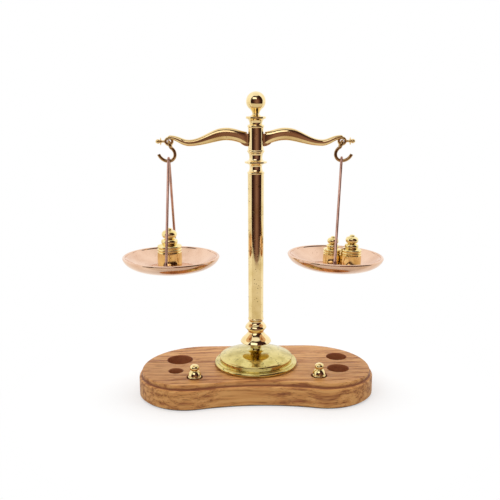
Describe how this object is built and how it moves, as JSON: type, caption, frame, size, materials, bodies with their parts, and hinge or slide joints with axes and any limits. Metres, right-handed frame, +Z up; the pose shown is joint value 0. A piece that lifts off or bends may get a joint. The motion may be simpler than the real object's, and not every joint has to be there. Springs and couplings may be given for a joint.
{
  "type": "balance scale",
  "caption": "Small two-pan balance: a brass column on an oak plinth carries a rocking swan-neck beam, copper pans on wire bails, and loose weights.",
  "frame": {"origin": "on the axis of the column, at the underside of the felt that the plinth stands on", "axes": "+X to the right along the beam, +Y to the straight back edge of the plinth, +Z up the column"},
  "size_m": [0.2059, 0.0925, 0.2369],
  "materials": {
    "oak": "oiled oak, satin",
    "felt": "felt",
    "foot_brass": "polished, lightly speckled",
    "column_brass": "polished and lacquered",
    "beam_brass": "cast and polished",
    "hook_brass": "drawn wire, slightly tarnished",
    "pin_brass": "drawn rod",
    "copper": "spun copper, polished",
    "bail_copper": "copper-plated wire, polished",
    "weight_brass": "turned and polished",
    "steel": "zinc plated"
  },
  "bodies": {
    "stand": {"plinth": "oak", "base_felt": "felt", "foot_plate": "foot_brass", "bell_foot": "column_brass", "knop": "column_brass", "shaft": "column_brass", "capital": "column_brass", "head": "column_brass", "finial": "column_brass", "tie_rod": "steel", "tie_washer": "steel", "tie_nut": "steel", "fulcrum_pin": "pin_brass"},
    "beam": {"beam": "beam_brass"},
    "hook_left": {"hook_left": "hook_brass"},
    "hook_right": {"hook_right": "hook_brass"},
    "pan_left": {"bail_left": "bail_copper", "pan_left": "copper"},
    "pan_right": {"bail_right": "bail_copper", "pan_right": "copper"},
    "weight_large": {"weight_large": "weight_brass"},
    "weight_medium_a": {"weight_medium_a": "weight_brass"},
    "weight_medium_b": {"weight_medium_b": "weight_brass"},
    "weight_small_left": {"weight_small_left": "weight_brass"},
    "weight_small_right": {"weight_small_right": "weight_brass"}
  },
  "joints": [
    {"name": "beam_rock", "type": "hinge", "parent": "stand", "child": "beam", "pos_m": [0, 0, 0.202], "axis": [0, 1, 0], "range_deg": [-6, 6]},
    {"name": "hook_left_swing", "type": "hinge", "parent": "beam", "child": "hook_left", "pos_m": [-0.06625, 0, 0.19925], "axis": [0, 1, 0], "range_deg": [-7, 25]},
    {"name": "hook_right_swing", "type": "hinge", "parent": "beam", "child": "hook_right", "pos_m": [0.06625, 0, 0.19925], "axis": [0, 1, 0], "range_deg": [-25, 4.7]},
    {"name": "pan_left_swing", "type": "hinge", "parent": "hook_left", "child": "pan_left", "pos_m": [-0.06675, 0, 0.18451], "axis": [1, 0, 0], "range_deg": [-15, 15]},
    {"name": "pan_right_swing", "type": "hinge", "parent": "hook_right", "child": "pan_right", "pos_m": [0.06616, 0, 0.1845], "axis": [0.9992, 0, -0.0401], "range_deg": [-15, 15]},
    {"name": "weight_large_lift", "type": "slide", "parent": "pan_left", "child": "weight_large", "axis": [0, 0, 1], "range_m": [0, 0.03]},
    {"name": "weight_medium_a_lift", "type": "slide", "parent": "pan_right", "child": "weight_medium_a", "axis": [0.0401, 0, 0.9992], "range_m": [0, 0.03]},
    {"name": "weight_medium_b_lift", "type": "slide", "parent": "pan_right", "child": "weight_medium_b", "axis": [0.0401, 0, 0.9992], "range_m": [0, 0.03]},
    {"name": "weight_small_left_lift", "type": "slide", "parent": "stand", "child": "weight_small_left", "axis": [0, 0, 1], "range_m": [0, 0.04]},
    {"name": "weight_small_right_lift", "type": "slide", "parent": "stand", "child": "weight_small_right", "axis": [0, 0, 1], "range_m": [0, 0.04]}
  ]
}
